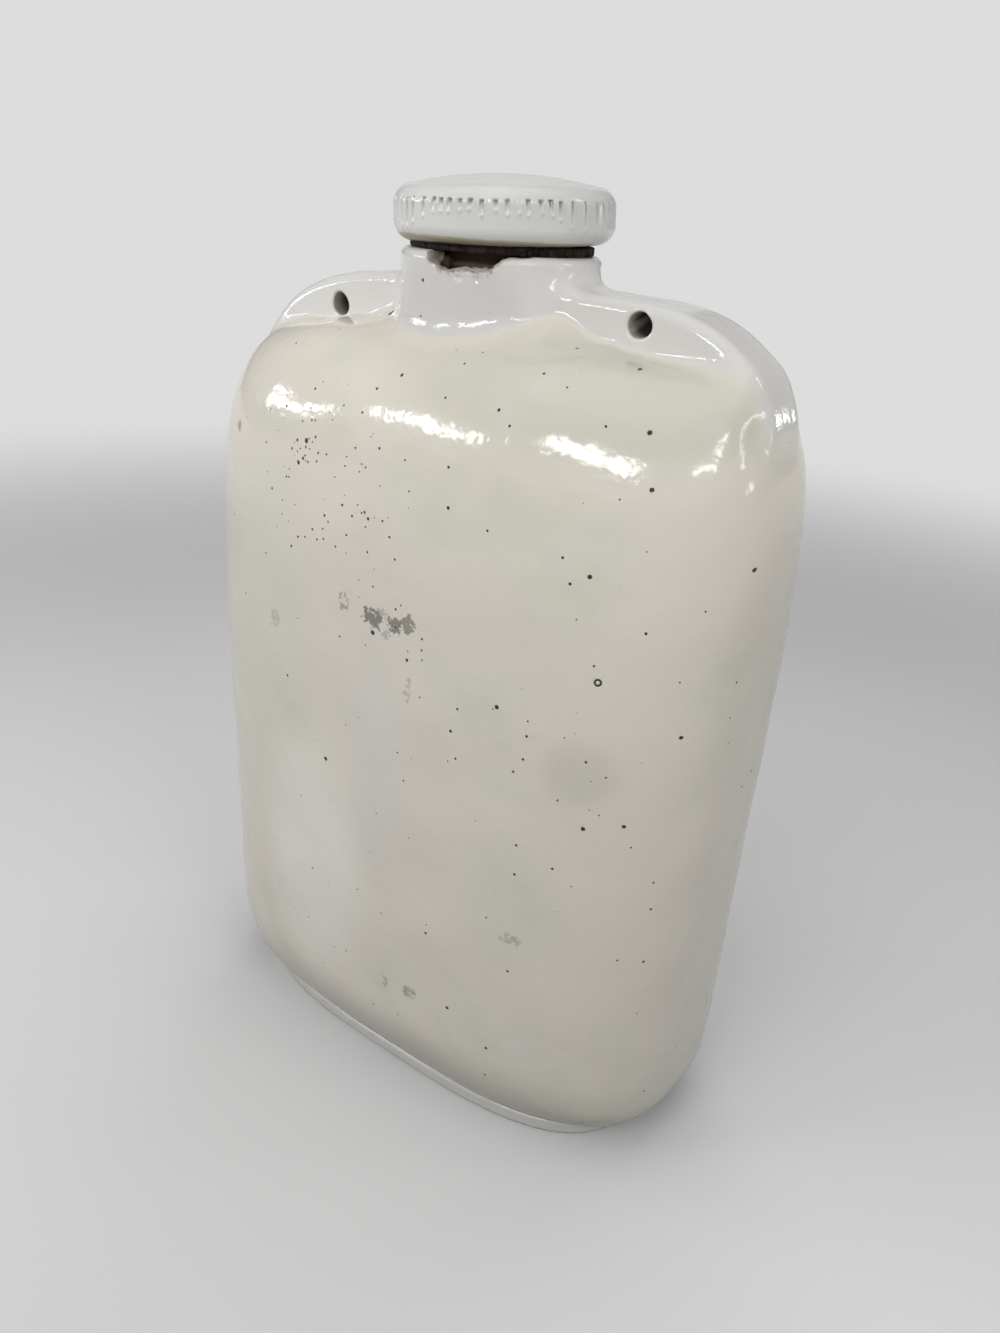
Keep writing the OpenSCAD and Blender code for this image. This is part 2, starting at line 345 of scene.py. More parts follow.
class Wire:
    """One value, colour or vector in a material. Sums on it add the nodes that work them out."""

    def __init__(self, tree, socket=None, kind="value"):
        self.tree, self.socket, self.kind = tree, socket, kind

    def node(self, node_type, settings=(), out=0, kind="value", **inputs):
        made = self.tree.nodes.new(node_type)
        for name, setting in dict(settings).items():
            if name == "stops":
                ramp = made.color_ramp.elements
                while len(ramp) < len(setting):
                    ramp.new(0.5)
                for stop, (place, colour) in zip(ramp, setting):
                    stop.position, stop.color = place, (*colour, 1)
            else:
                setattr(made, name, setting)
        for name, given in inputs.items():
            socket = next(s for s in made.inputs if s.identifier == name.replace("__", " "))
            if isinstance(given, Wire):
                self.tree.links.new(given.socket, socket)
            else:
                socket.default_value = given
        return Wire(self.tree, made.outputs[out], kind)

    def sum(self, operation, a, b):
        if self.kind == "vector":
            if operation == "MULTIPLY" and not isinstance(b, (tuple, Wire)):
                return self.node("ShaderNodeVectorMath", {"operation": "SCALE"}, kind="vector", Vector=a, Scale=b)
            return self.node("ShaderNodeVectorMath", {"operation": operation}, kind="vector", Vector=a, Vector_001=b)
        return self.node("ShaderNodeMath", {"operation": operation}, Value=a, Value_001=b)

    def __add__(self, other): return self.sum("ADD", self, other)
    def __radd__(self, other): return self.sum("ADD", self, other)
    def __sub__(self, other): return self.sum("SUBTRACT", self, other)
    def __rsub__(self, other): return self.sum("SUBTRACT", other, self)
    def __mul__(self, other): return self.sum("MULTIPLY", self, other)
    def __rmul__(self, other): return self.sum("MULTIPLY", self, other)
    def __truediv__(self, other): return self.sum("DIVIDE", self, other)
    def __pow__(self, other): return self.sum("POWER", self, other)

    def larger(self, other): return self.sum("MAXIMUM", self, other)
    def smaller(self, other): return self.sum("MINIMUM", self, other)

    def step(self, start, end):
        """0 at start, 1 at end, with soft ends."""
        return self.node("ShaderNodeMapRange", {"interpolation_type": "SMOOTHSTEP"}, Value=self,
                         From__Min=start, From__Max=end)

    def mixed(self, a, b):
        """Colour a where this value is 0 and b where it is 1."""
        a, b = ((*c, 1) if isinstance(c, tuple) and len(c) == 3 else c for c in (a, b))
        return self.node("ShaderNodeMix", {"data_type": "RGBA"}, out=2, kind="colour",
                         Factor_Float=self, A_Color=a, B_Color=b)

    def away(self, point, squeeze=(1, 1, 1)):
        """Distance in millimetres from a point given in millimetres, with each axis divided by squeeze."""
        scale = tuple(1 / MM / s for s in squeeze)
        place = self * scale - tuple(c / s for c, s in zip(point, squeeze))
        return place.node("ShaderNodeVectorMath", {"operation": "LENGTH"}, out=1, Vector=place)

    def noise(self, size, detail=2.0, roughness=0.5, **given):
        """Noise whose blotches are about size millimetres across."""
        return self.node("ShaderNodeTexNoise", {"noise_dimensions": "3D"}, Vector=self,
                         Scale=1 / (size * MM), Detail=detail, Roughness=roughness, **given)

    def specks(self, spacing, radius, share, seed=0.0):
        """Round specks of up to the radius, one in each spacing with the share's chance, all in millimetres."""
        moved = self + (seed, seed, seed) if seed else self
        cell = {"Vector": moved, "Scale": 1 / (spacing * MM)}
        far = self.node("ShaderNodeTexVoronoi", {"feature": "F1"}, out="Distance", **cell)
        colour = self.node("ShaderNodeTexVoronoi", {"feature": "F1"}, out="Color", kind="colour", **cell)
        chance = self.node("ShaderNodeSeparateColor", out=0, Color=colour)
        size = self.node("ShaderNodeSeparateColor", out=1, Color=colour)
        wide = (size * 0.6 + 0.4) * (radius / spacing)
        dot = 1 - (far / wide).step(0.7, 1.0)
        return dot * (share - chance).step(0.0, 0.01)


def new_finish(name, colour, roughness, **constants):
    """A glazed or bare finish: the shader with its constants, and a Wire at the object's coordinates."""
    material = bpy.data.materials.new(name)
    material.use_nodes = True
    tree = material.node_tree
    shader = tree.nodes["Principled BSDF"]
    shader.inputs["Base Color"].default_value = (*colour, 1)
    shader.inputs["Roughness"].default_value = roughness
    for socket, value in constants.items():
        shader.inputs[socket.replace("_", " ")].default_value = value
    place = Wire(tree).node("ShaderNodeTexCoord", out="Object", kind="vector")
    return material, shader, place


def feed(shader, socket, wire):
    wire.tree.links.new(wire.socket, shader.inputs[socket])


def raise_surface(shader, height):
    """Height in millimetres, as a bump."""
    feed(shader, "Normal", height.node("ShaderNodeBump", out="Normal", kind="vector",
                                       Strength=1.0, Distance=MM, Height=height))


cream, shader, at = new_finish("cream_glaze", (0.63, 0.595, 0.51), 0.1, IOR=1.52)
cream_tone, greenish, whiter = (0.63, 0.592, 0.52), (0.565, 0.557, 0.47), (0.59, 0.58, 0.555)
bare_clay, hole_painted_shade, pit_brown, grime = (0.43, 0.40, 0.35), (0.035, 0.03, 0.025), (0.018, 0.014, 0.010), (0.17, 0.155, 0.145)

tone = at.noise(60, 2) * 0.6 + at.noise(24, 3) * 0.4
over = at.away((-48, -47, 150), (22, 30, 62)).step(1.4, 0.5).larger(at.away((50, -47.5, 93), (13, 30, 21)).step(1.5, 0.5))
colour = tone.step(0.48, 0.66).larger(over * 0.5).mixed(cream_tone, greenish)
pale = at.away((-26, -49, 76), (22, 30, 38)).step(1.5, 0.5)
colour = (pale * 0.8).mixed(colour, (0.72, 0.70, 0.645))
# Painted shade: the top of the shoulder right of the neck is painted darker and greener.
shoulder_painted_shade = at.away((53, -30, 232), (50, 30, 14)).step(1.5, 0.6)
colour = (shoulder_painted_shade * 0.85).mixed(colour, (0.505, 0.496, 0.418))
# Painted shade: the bottom of the body is painted darker, as if less light reached it near the floor.
low = at.away((30, -45, 10), (70, 30, 14)).step(1.5, 0.6)
colour = (low * 0.8).mixed(colour, (0.555, 0.522, 0.455))
depth = at.away((0, 0, 0), (1e6, 1, 1e6))
on_lug = at.node("ShaderNodeAttribute", {"attribute_name": "upper"}, out="Fac")
flank = at.away((-96, 0, 120), (1, 3.2, 9)).step(21, 5).larger(at.away((2, -50.4, 122), (11, 30, 40)).step(1.4, 0.4) * 0.45)
height = at.node("ShaderNodeSeparateXYZ", out=2, Vector=at) * (1 / MM)
colour = flank.larger(height.step(5.8, 5.0)).larger(at.noise(16, 3).step(0.58, 0.8) * 0.4).mixed(colour, whiter)
# Painted shade: the front of the neck under the stopper's head and the right lug's top edge are painted darker.
neck_painted_shade = at.away((4, -28, 249), (20, 14, 12)).step(1.4, 0.7)
neck_painted_shade = neck_painted_shade.larger(at.away((66, -8, 246), (42, 14, 18)).step(1.3, 0.8) * 0.7)
colour = on_lug.mixed(colour, neck_painted_shade.mixed((0.625, 0.615, 0.59), (0.55, 0.54, 0.516)))

busy = at.away((-20, -49, 203), (34, 30, 24)).step(1.3, 0.6)
misty = at.away((67, -43, 138.5), (11, 30, 10)).step(1.3, 0.4)
about = at.away((10, -50, 164), (13, 30, 10)).step(1.3, 0.6).larger(at.away((48, -48, 152), (10, 30, 9)).step(1.3, 0.6))
thick = at.away((-30, -47, 209), (7, 30, 7.5)).step(1.3, 0.5).larger(at.away((1, -49.5, 193), (8, 30, 4)).step(1.3, 0.6) * 0.6)
fine = at.specks(2.6, 0.46, busy * 0.65 + misty * 0.35 + about * 0.3 + 0.09)
dense = at.specks(1.7, 0.46, thick * 0.95, 0.31)
ghost = at.specks(2.6, 0.30, 0.5, 0.77) * 0.22
pits = [  # x, y, z and radius of the pits that show most
    (-19.0, -50.3, 113.8, 0.9), (-25.3, -17.3, 243.0, 1.2), (69.6, -30.5, 226.7, 0.75),
    (74.5, -18.1, 234.5, 0.6), (73.9, -34.2, 214.5, 0.7), (64.2, -42.2, 192.4, 0.75), (59.8, -44.0, 189.9, 0.5),
    (87.6, -28.6, 151.8, 0.65), (69.4, -41.7, 122.8, 0.8), (78.7, -36.6, 125.1, 0.7), (93.6, -13.9, 195.0, 0.75),
    (43.5, -48.5, 152.4, 0.8), (29.4, -49.8, 140.7, 0.6), (23.5, -50.1, 69.7, 0.6), (32.5, -49.5, 45.5, 0.7),
    (47.0, -47.8, 37.2, 0.6), (58.9, -19.7, 239.0, 0.6), (39.5, -18.5, 241.4, 0.5), (32.4, -40.3, 227.2, 0.55),
    (36.8, -41.3, 224.1, 0.5), (15.9, -41.0, 227.7, 0.45), (-1.1, -38.9, 230.8, 0.6), (16.1, -34.2, 235.6, 0.4),
    (-4.8, -27.4, 253.8, 0.6), (9.7, -26.1, 244.0, 0.45), (25.8, -10.5, 248.8, 0.55), (-29.6, -46.9, 209.6, 0.95),
    (-33.5, -46.0, 209.0, 0.6), (-32.0, -46.8, 203.0, 0.9), (-30.2, -47.2, 204.6, 0.6), (0.3, -50.4, 161.4, 0.9),
    (-2.5, -49.5, 193.6, 0.6), (-41.0, -43.0, 217.0, 0.6), (22.4, -46.6, 212.0, 0.5), (23.9, -48.2, 202.0, 0.6),
    (13.2, -50.4, 157.0, 0.6), (-47.0, -46.5, 180.0, 0.55),
]
ring_at = (69.2, -41.7, 165.6)
main = None
for x, y, z, r in pits:
    dot = at.away((x, y, z), (1, 1.6, 1)).step(r * 0.9, r * 0.6)
    main = dot if main is None else main.larger(dot)
off_ring = at.away(ring_at)
ring = off_ring.step(0.35, 0.7) * off_ring.step(1.25, 0.9)
dark = fine.larger(dense).larger(main).larger(ring)

warp = at + (at.noise(3, 3, 0.6, out="Color", kind="vector") - (0.5, 0.5, 0.5)) * (5 * MM)
blot = at.noise(1.5, 4, 0.65)
scuffs = [  # where, squeeze, threshold of the cover and its strength
    ((0.3, -50.4, 166.0), (3.8, 30, 2.5), 0.625, 0.9), ((8.8, -50.4, 165.8), (3.0, 30, 2.7), 0.64, 0.88),
    ((13.5, -50.4, 167.6), (2.3, 30, 2.7), 0.64, 0.8), ((-10.7, -50.3, 167.6), (2.6, 30, 3.2), 0.75, 0.6),
    ((4.2, -50.4, 168.4), (2.6, 30, 1.2), 0.68, 0.5), ((5.0, -50.4, 161.8), (1.6, 30, 1.4), 0.68, 0.45),
    ((-42.5, -48.6, 153.3), (2.4, 12, 3.4), 0.66, 0.3), ((13.8, -50.3, 147.8), (1.3, 30, 4.8), 0.70, 0.35),
    ((-66.8, -39.0, 206.8), (1.4, 6, 1.6), 0.62, 0.7), ((52.2, -46.9, 80.3), (3.4, 12, 1.8), 0.68, 0.45),
    ((7.3, -50.4, 42.7), (1.1, 30, 2.2), 0.66, 0.5), ((18.0, -50.3, 43.2), (2.4, 30, 2.6), 0.67, 0.65),
]
worn = None
for where, squeeze, limit, strength in scuffs:
    inside = warp.away(where, squeeze).step(1.5, 0.5)
    share = (blot + inside * 0.25).step(limit, limit + 0.025) * inside.step(0.05, 0.3) * strength
    worn = share if worn is None else worn.larger(share)
colour = (misty * 0.35).mixed(colour, (0.40, 0.39, 0.32))
colour = (at.away((5, -50.4, 170.5), (7, 30, 4.5)).step(1.3, 0.3) * 0.5).mixed(colour, (0.64, 0.56, 0.51))
colour = (ghost * (1 - dark)).mixed(colour, (0.30, 0.27, 0.22))
colour = worn.mixed(colour, grime)

bare = at.node("ShaderNodeAttribute", {"attribute_name": "bare"}, out="Fac")
broken = at.node("ShaderNodeAttribute", {"attribute_name": "broken"}, out="Fac")
dirt = at.node("ShaderNodeAttribute", {"attribute_name": "dirt"}, out="Fac")
pierced = None
for hx, hz in cord_holes:
    off = at.away((hx, 0, hz), (1, 1e6, 1)).step(cord_hole_r + 0.35, cord_hole_r + 0.05)
    pierced = off if pierced is None else pierced.larger(off)
bare = bare.larger(pierced * depth.step(10.4, 9.3))
grain = at.noise(0.9, 4, 0.7)
clay_colour = (at.noise(2.4, 3) * 1.6 - 0.3).smaller(1).mixed((0.30, 0.25, 0.20), bare_clay)
# Painted shade: the inside of each cord hole goes near black deeper in.
clay_colour = (pierced * depth.step(8.8, 2.8) * 0.92).mixed(clay_colour, hole_painted_shade)
grey_break = at.away((-3, -26, 259), (7, 9, 30)).step(1.3, 0.7)
fresh = grey_break.mixed((0.56, 0.50, 0.46), (0.31, 0.285, 0.24))
stained = at.noise(1.6, 3, 0.6).step(0.50, 0.70).mixed(fresh, (0.25, 0.20, 0.17))
colour = bare.mixed(colour, clay_colour)
colour = broken.mixed(colour, stained)
# Near black inside the neck's bore and the hollow: partly dirt from the perished rubber, partly painted shade.
colour = dirt.mixed(colour, (0.028, 0.019, 0.015))
colour = dark.mixed(colour, pit_brown)
feed(shader, "Base Color", colour)

rough = at.noise(12, 3) * 0.10 + 0.07
rough = rough + worn * 0.35 + dark * 0.4 + bare * 0.7 + broken * 0.5 + dirt * 0.35
feed(shader, "Roughness", rough.smaller(0.9))
peel = at.noise(6, 2) * 0.20 + at.noise(2.1, 2) * (0.045 + on_lug * 0.05)
raise_surface(shader, peel - dark * 0.22 + (bare + broken).smaller(1) * grain * 0.25 - worn * 0.02)

xs = graded((-98, -60, 2.2), (-60, -46, 0.65), (-46, -34, 1.3), (-34, -6, 0.7), (-6, 24, 0.55), (24, 34, 0.8),
            (34, 45, 1.1), (45, 58, 0.65), (58, 98, 2.2))
ys = graded((-53, -34, 1.6), (-34, -12, 0.6), (-12, -7, 0.5), (-7, 12, 1.0), (12, 34, 1.0), (34, 53, 1.6))
zs = graded((-1.2, 8.4, 0.6), (8.4, 26, 1.6), (26, 200, 2.4), (200, 236, 1.5), (236, 252, 0.6), (252, 263, 0.5))
points, quads = skin(clay_gap, xs, ys, zs)
points = settle(clay_gap, points, 2)
for _ in range(2):
    points = settle(clay_gap, relax(points, quads, 0.5), 1)
bottle = make_piece("bottle_flask", points, quads, "bottle", cream)
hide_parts("bottle")


def add_mark(piece, name, values):
    piece.data.attributes.new(name, "FLOAT", "POINT").data.foreach_set("value", np.clip(values, 0, 1).astype(np.float32))


px, py, pz = points.T
rho, theta = np.hypot(px, py), np.arctan2(py, px)
on_foot = ease((0.5 - pz) / 0.4) * (oval_gap(px, py, foot_w / 2 - foot_rim, foot_d / 2 - foot_rim, 3.0) > -0.6)
near_chip = (np.degrees(theta) > chip_ends[0] - 1.5) & (np.degrees(theta) < chip_ends[1] + 5)
in_chip = ease((0.55 - chip_gap(theta, rho, pz)) / 0.4) * near_chip * (rho > bore_r - 0.6) * (pz > 255) * (rho < neck_r + 0.1)
# The bore and the hollow get a mark for dirt from the rubber together with painted shade.
inner = (rho < bore_r + 0.35) & (pz > 230) | (pz > 8) & (body_gap(px, py, pz) < -4.5) & (pz < 236)
body, upper = body_and_top(px, py, pz)
soft = 1.4 + 5 * ease((np.abs(px) - 72) / 12)
add_mark(bottle, "upper", ease(0.5 + (body - upper) / soft) * ease((pz - 212) / 20))
add_mark(bottle, "bare", on_foot)
add_mark(bottle, "broken", in_chip * ~inner)
add_mark(bottle, "dirt", np.where(inner, 0.93, 0))


# ---- Stopper --------------------------------------------------------------------------------
# Thrown stoneware stopper: a domed head with a rolled rim that was notched with a rod while the
# clay was wet, and a shank with a coarse right-hand thread. The glaze has pooled in the front
# notches; the underside of the head was wiped bare.

s_low, s_high = (np.array(corner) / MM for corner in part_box("stopper"))
head_r, shank_end = s_high[0], s_low[2]
head_h, dome, top_round, bottom_round = 17.2, 2.8, 5.0, 4.2
head_z = s_high[2] - head_h
shank_r, shank_thread, shank_l = 19.0, 1.1, head_z - shank_end
askew = np.radians((-1.2, -1.5))           # tilt of the head towards +X and +Y
offset = (0.29, 0.32)
notch_top, notch_wide = 11.1, 0.9
front_notches = [-96.8, -90.1, -85.8, -80.6, -75.2, -69.6, -64.1, -57.4, -51.7, -46.5, -41.7, -35.3, -30.2,
                 -24.7, -17.8, -9.3, -0.5]       # degrees round the head; the one at -46.5 is nearly filled


def stopper_rows():
    """Radius and height over the head's underside, from the middle of the dome to the shank's tip."""
    chord = head_r - top_round
    ball = (chord ** 2 + dome ** 2) / (2 * dome)
    dome_r = np.concatenate([[0.001, 0.6, 1.6], np.linspace(3.5, chord, 15)])
    rows = [(r, head_h - ball + math.sqrt(ball * ball - r * r)) for r in dome_r]
    side_top = head_h - dome - top_round
    rows += [(chord + top_round * math.sin(a), side_top + top_round * math.cos(a))
             for a in np.linspace(0.2, math.pi / 2, 26)]
    rows += [(head_r, z) for z in np.linspace(side_top, bottom_round, 21)[1:-1]]
    rows += [(head_r - bottom_round * (1 - math.cos(a)), bottom_round * (1 - math.sin(a)))
             for a in np.linspace(0, math.pi / 2, 9)]
    rows += [(r, 0.0) for r in np.linspace(head_r - bottom_round - 1.2, shank_r + 1.2, 4)]
    rows += [(shank_r + 0.35, -0.1)]
    rows += [(shank_r, z) for z in np.linspace(-0.8, 2 - shank_l, 40)]
    rows += [(shank_r - 2 * t, 2 - shank_l - 2 * t) for t in (0.33, 0.67, 0.93)]
    rows += [(r, -shank_l) for r in np.linspace(shank_r - 2.4, 0.001, 8)]
    return np.array(rows)


columns = 720
rows = stopper_rows()
theta = np.arange(columns) * 2 * math.pi / columns
rng = np.random.default_rng(5)
others = np.arange(5.4, 256, 5.95)
centres = np.concatenate([front_notches, others + rng.uniform(-0.5, 0.5, len(others))])
notch_count = len(centres)
facing = ease((np.abs((centres + 60 + 180) % 360 - 180) - 30) / 14)   # 0 at the front, where the glaze pooled
notch_len = 2.4 + rng.uniform(0, 1.3, notch_count) + 3.4 * facing
notch_deep = 0.85 + rng.uniform(-0.1, 0.12, notch_count) - 0.25 * facing
notch_deep[np.abs(centres + 46.5) < 1] = 0.12
edge_z = notch_top + rng.uniform(-0.25, 0.25, notch_count)
r = np.repeat(rows[:, :1], columns, 1)
z = np.repeat(rows[:, 1:], columns, 1)
grid = np.repeat(theta[None], len(rows), 0)
pressed = np.zeros_like(r)
beads = np.zeros_like(r)
shade = np.zeros_like(r)
slants = rng.uniform(-0.5, 0.5, notch_count) * (1 - facing)
for centre, length, deep, edge, slant in zip(centres, notch_len, notch_deep, edge_z, slants):
    s = (np.degrees(grid) - centre + 180) % 360 - 180
    below = np.clip((edge - z) / length, 0, 1)
    half = (notch_wide - 0.25 * min(1, (length - 2.7) / 3)) * (1 - 0.45 * below)
    s = (np.radians(s) * head_r + slant * below) / half
    across = np.maximum(1 - s * s, 0) ** 0.8
    cup = deep * across * ease((edge - z) / 0.35) * (1 - below) ** 0.7 * (r > head_r - 3)
    pressed = np.maximum(pressed, cup)
    shade = np.maximum(shade, cup / 0.8 * ease(1.25 - below * 1.3))
    lip = np.exp(-((np.abs(s) - 1.3) / 0.3) ** 2) * ease((edge + 0.2 - z) / 0.8) * ease((z - edge + length) / 1.5)
    foot_bead = np.exp(-(s / 0.9) ** 2 - ((z - edge + length + 0.2) / 0.6) ** 2)
    beads = np.maximum(beads, (0.2 * lip + 0.38 * foot_bead) * (r > head_r - 3))
fade = ease((-1.5 - z) / 3) * ease((z + shank_l - 1.6) / 2.5)
thread = shank_thread * fade * (0.5 + 0.5 * thread_wave(grid, z + head_z))
uneven = 0.10 * np.sin(2 * grid + 0.7) + 0.07 * np.sin(3 * grid + z * 0.2)
r = r - pressed + beads + thread + uneven * (z > -0.5) * ease((r - 10) / 12)
skew = ease((z + 14) / 14)
sx = r * np.cos(grid) + skew * (offset[0] + askew[0] * z)
sy = r * np.sin(grid) + skew * (offset[1] + askew[1] * z)
sz = z + head_z - skew * (askew[0] * r * np.cos(grid) + askew[1] * r * np.sin(grid))
stopper_points = np.stack([sx, sy, sz], 2).reshape(-1, 3)


def wrap(row_count, column_count):
    """Quads of a surface of turned rows, closed round the axis."""
    i = np.arange(row_count - 1)[:, None] * column_count
    j = np.arange(column_count)[None]
    k = (j + 1) % column_count
    return np.stack([i + j, i + column_count + j, i + column_count + k, i + k], 2).reshape(-1, 4)


def capped(points, faces, row_count, column_count):
    """Closes the first and the last row, each with a fan about its middle."""
    first, last = points[:column_count].mean(0), points[-column_count:].mean(0)
    n = len(points)
    j = np.arange(column_count)
    k = (j + 1) % column_count
    tail = (row_count - 1) * column_count
    fans = [*zip(np.full(column_count, n), j, k), *zip(np.full(column_count, n + 1), tail + k, tail + j)]
    return np.concatenate([points, [first, last]]), [*faces, *fans]


white, shader, at = new_finish("white_glaze", (0.66, 0.655, 0.62), 0.1, IOR=1.52)
fine_peel = at.noise(4, 2) * 0.14 + at.noise(1.5, 2) * 0.04
apart = at.node("ShaderNodeSeparateXYZ", out=2, Vector=at)
over_head = apart * (1 / MM) - head_z
notch_painted_shade = at.node("ShaderNodeAttribute", {"attribute_name": "pressed"}, out="Fac")
bare = at.node("ShaderNodeAttribute", {"attribute_name": "bare"}, out="Fac")
colour = at.noise(22, 2).step(0.3, 0.7).mixed((0.61, 0.61, 0.597), (0.58, 0.575, 0.545))
wiped = (over_head + at.noise(4, 3) * 0.8).step(2.0, 1.1)
colour = wiped.mixed(colour, (0.35, 0.33, 0.21))
# Painted shade: the rim of the head, where it turns under towards the washer, is painted near black.
colour = over_head.step(0.7, -0.2).mixed(colour, (0.10, 0.085, 0.055))
shank_rubber_and_shade = over_head.step(0.0, -0.5) * (over_head + at.noise(5, 3) * 8).step(-8, -4)
colour = (bare + (over_head.step(0.5, 0.1))).smaller(1).mixed(colour, (0.36, 0.31, 0.24))
specks = at.specks(6, 0.32, 0.30, 0.11)
colour = (shank_rubber_and_shade * 0.9).mixed(colour, (0.035, 0.022, 0.018))      # rubber that the washer left on the shank, with painted shade where the shank stands in the bore
# Painted shade in the notches, darkest under their top edges.
colour = (notch_painted_shade * 0.8).mixed(colour, (0.13, 0.125, 0.11))
colour = specks.mixed(colour, (0.08, 0.065, 0.05))
feed(shader, "Base Color", colour)
feed(shader, "Roughness", (at.noise(9, 2) * 0.08 + 0.08 + wiped * 0.18 + bare * 0.6 + specks * 0.3).smaller(0.9))
raise_surface(shader, fine_peel + at.noise(1.2, 3) * bare * 0.12 - specks * 0.15)

faces = wrap(len(rows), columns)[:, ::-1]
stopper_points, faces = capped(stopper_points, faces[:, ::-1], len(rows), columns)
stopper = make_piece("stopper_screw", stopper_points, faces, "stopper", white)
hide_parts("stopper")
# The "pressed" mark holds the painted shade in the notches.
add_mark(stopper, "pressed", np.append(ease(shade.ravel()), [0, 0]))
add_mark(stopper, "bare", np.append(ease((0.15 - z.ravel()) / 0.3), [0, 1]))


# ---- Washer ---------------------------------------------------------------------------------
# Ring of dark rubber cut from sheet, which seals the stopper's head on the rim. It has perished:
# its edge is cracked and crumbling, and crumbs of it lie on the rim.

w_low, w_high = (np.array(corner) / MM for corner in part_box("washer"))
washer_r, washer_hole_r = w_high[0], 20.5
washer_low, washer_t = w_low[2], w_high[2] - w_low[2]

section = []
for a0, cx, cz in ((-90, washer_r - 0.5, 0.5), (0, washer_r - 0.5, washer_t - 0.5),
                   (90, washer_hole_r + 0.4, washer_t - 0.4), (180, washer_hole_r + 0.4, 0.4)):
    size = 0.5 if cx > 23 else 0.4
    section += [(cx + size * math.cos(math.radians(a)), cz + size * math.sin(math.radians(a)))
                for a in np.linspace(a0, a0 + 90, 5)]
    if a0 == -90:
        section += [(washer_r, c) for c in np.linspace(0.5, washer_t - 0.5, 6)[1:-1]]
section = np.array(section)
columns = 420
theta = np.arange(columns) * 2 * math.pi / columns
rng = np.random.default_rng(9)
cracks = rng.uniform(0, 2 * math.pi, 46)
deep = rng.uniform(0.15, 0.9, 46)
crumble = sum(np.sin(n * theta + rng.uniform(0, 6.3)) / n ** 0.5 for n in range(5, 60, 3)) * 0.12
notch = sum(d * np.exp(-(((theta - c + math.pi) % (2 * math.pi) - math.pi) * washer_r / 0.35) ** 2)
            for c, d in zip(cracks, deep))
wr = np.repeat(section[:, :1], columns, 1)
outer = ease((wr - 23.5) / 1.8)
wr = np.minimum(wr - outer * (notch + np.abs(crumble)), washer_r)
wz = np.repeat(section[:, 1:], columns, 1) + washer_low
ring_theta = np.repeat(theta[None], len(section), 0)
washer_points = np.stack([wr * np.cos(ring_theta), wr * np.sin(ring_theta), wz], 2).reshape(-1, 3)
faces = wrap(len(section) + 1, columns) % len(washer_points)

rubber, shader, at = new_finish("perished_rubber", (0.012, 0.008, 0.006), 0.7, Specular_IOR_Level=0.16)
colour = at.noise(2.5, 4, 0.7).step(0.45, 0.72).mixed((0.010, 0.006, 0.005), (0.040, 0.026, 0.020))
feed(shader, "Base Color", colour)
feed(shader, "Roughness", at.noise(1.5, 3) * 0.4 + 0.45)
raise_surface(shader, at.noise(0.8, 4, 0.7) * 0.3)
washer = make_piece("washer_ring", washer_points, faces[:, ::-1], "washer", rubber)
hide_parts("washer")


# ---- Crumbs ---------------------------------------------------------------------------------
# Crumbs of the perished rubber, stuck to the washer's edge and lying on the bottle's rim.

def crumb(name, angle, radius, z, size, seed, body="washer", lowest=rim_z + 0.02):
    lump = np.random.default_rng(seed)
    u, v = np.meshgrid(np.linspace(0.12, math.pi - 0.12, 7), np.arange(10) * math.pi / 5, indexing="ij")
    bulge = size * (1 + lump.uniform(-0.28, 0.28, u.shape))
    squash = lump.uniform(0.6, 1.3, 3)
    local = np.stack([np.sin(u) * np.cos(v), np.sin(u) * np.sin(v), np.cos(u)], 2) * bulge[..., None] * squash
    middle = (radius * math.cos(math.radians(angle)), radius * math.sin(math.radians(angle)), z)
    lump_points = local.reshape(-1, 3) + middle
    lump_points[:, 2] = np.maximum(lump_points[:, 2], lowest)
    lump_points, lump_faces = capped(lump_points, wrap(7, 10), 7, 10)
    return make_piece(name, lump_points, lump_faces, body, rubber)


for number, (angle, radius, up, size) in enumerate((
        (-37.0, 25.6, 0.7, 0.75), (-40.5, 25.9, 0.5, 0.55), (-34.0, 25.7, 1.2, 0.6), (-44.0, 25.4, 0.6, 0.5),
        (-30.0, 25.6, 0.5, 0.45), (12.0, 25.6, 0.6, 0.5), (140.0, 25.5, 0.7, 0.6), (205.0, 25.6, 0.5, 0.5))):
    crumb(f"rubber_crumb_{number + 1}", angle, radius, rim_z + up, size, 30 + number)
crumb("rubber_crumb_9", -88.5, 24.2, 258.4, 1.6, 51, "bottle", 254)


# ---- Studio ---------------------------------------------------------------------------------
# A plain pale floor, a row of soft lamps that stand round the bottle a little above it, a broad
# soft lamp overhead, and the camera at the photograph's viewing angle.

paper = bpy.data.materials.new("floor_paper")
paper.use_nodes = True
tree = paper.node_tree
at = Wire(tree).node("ShaderNodeTexCoord", out="Object", kind="vector")
rays = [at.node("ShaderNodeLightPath", out=o) for o in ("Is Camera Ray", "Is Glossy Ray", "Is Transmission Ray")]
looked_at = rays[0].larger(rays[1]).larger(rays[2])
shader = tree.nodes["Principled BSDF"]
shader.inputs["Roughness"].default_value = 0.95
feed(shader, "Base Color", looked_at.mixed((0.06, 0.06, 0.06), (0.56, 0.56, 0.56)))
glow = at.node("ShaderNodeEmission", Color=(0.72, 0.72, 0.72, 1), kind="shader")
far = at.away((0, 0, 0)).step(380, 1100) * looked_at
lit = at.node("ShaderNodeMixShader", Fac=far, Shader=Wire(tree, shader.outputs[0]), Shader_001=glow, kind="shader")
tree.links.new(lit.socket, tree.nodes["Material Output"].inputs["Surface"])
floor_mesh = bpy.data.meshes.new("floor")
reach = 14
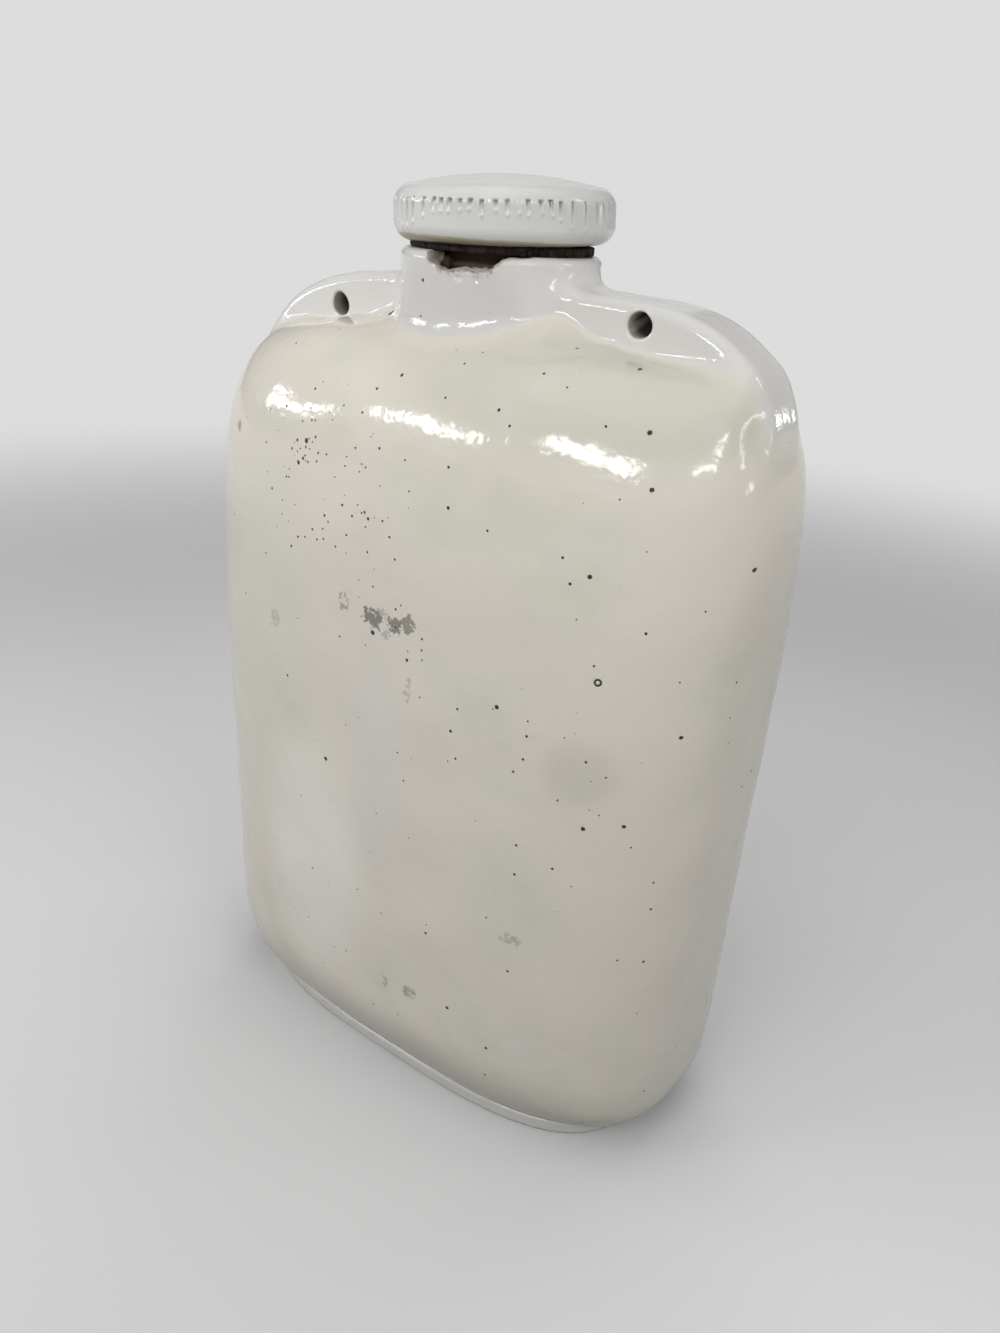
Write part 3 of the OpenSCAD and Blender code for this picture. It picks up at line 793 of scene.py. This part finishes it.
floor_mesh.from_pydata([(x, y, 0) for x, y in ((-reach, -reach), (reach, -reach), (reach, reach), (-reach, reach))],
                       [], [(0, 1, 2, 3)])
floor_mesh.materials.append(paper)
floor = bpy.data.objects.new("floor", floor_mesh)
bpy.context.scene.collection.objects.link(floor)

world = bpy.data.worlds.new("studio")
world.use_nodes = True
bpy.context.scene.world = world
air = world.node_tree.nodes["Background"]
sky = Wire(world.node_tree)
seen = sky.node("ShaderNodeLightPath", out="Is Camera Ray").larger(sky.node("ShaderNodeLightPath", out="Is Transmission Ray"))
world.node_tree.links.new(seen.mixed((0.22, 0.22, 0.225), (0.72, 0.72, 0.72)).socket, air.inputs["Color"])


def lamp(name, azimuth, elevation, wide, tall, radiance, distance=0.8, roll=0, glossy=True):
    """A soft lamp seen from the shoulders at the azimuth and elevation, wide and tall in degrees."""
    width, height = (2 * distance * math.tan(math.radians(a / 2)) for a in (wide, tall))
    data = bpy.data.lights.new(name, "AREA")
    data.shape, data.size, data.size_y, data.energy = "RECTANGLE", width, height, radiance * math.pi * width * height
    item = bpy.data.objects.new(name, data)
    a, e = math.radians(azimuth), math.radians(elevation)
    way = Vector((math.sin(a) * math.cos(e), -math.cos(a) * math.cos(e), math.sin(e)))
    item.location = Vector((0, 0, 0.2)) + way * distance
    item.rotation_euler = (way.to_track_quat("Z", "Y") @ Quaternion((0, 0, 1), math.radians(roll))).to_euler()
    item.visible_camera, item.visible_glossy = False, glossy
    bpy.context.scene.collection.objects.link(item)


lamp("lamp_left", -63.5, 12, 19, 2.6, 19, roll=20)
lamp("lamp_left_high", -70, 14.5, 9, 1.8, 17, roll=22)
lamp("lamp_front_left", -35.5, 22, 18, 5.5, 17)
lamp("lamp_front", 7.5, 28.5, 32, 8, 15, roll=-9)
lamp("lamp_front_soft", -42, 28, 60, 34, 1.2, 0.5, glossy=False)
lamp("lamp_right", 66.5, 25.8, 18, 4, 13, roll=4)
lamp("lamp_right_low", 101, 19.5, 7, 2.5, 9)
lamp("lamp_right_soft", 74, 19, 46, 40, 1.75, 0.5, glossy=False)
lamp("lamp_back", 149.5, 8, 4, 5, 10)
lamp("lamp_back_low", 108, 7.5, 7, 2.5, 8)
lamp("lamp_back_high", 122, 38, 16, 2.5, 10, roll=-56)
lamp("lamp_behind", 217, 21, 36, 32, 0.37)
lamp("lamp_back_soft", 190, 42, 60, 34, 2.2, 0.5, glossy=False)
lamp("lamp_overhead", 0, 86, 60, 60, 0.45, 1.3)

camera_data = bpy.data.cameras.new("camera")
camera_data.sensor_width = 36
camera_data.lens = 28.857
camera = bpy.data.objects.new("camera", camera_data)
camera.location = (0.19226, -0.25297, 0.27607)
camera.rotation_euler = [math.radians(a) for a in (66.078, -3.345, 37.497)]
bpy.context.scene.collection.objects.link(camera)
bpy.context.scene.camera = camera
bpy.context.scene.view_settings.view_transform = "Standard"
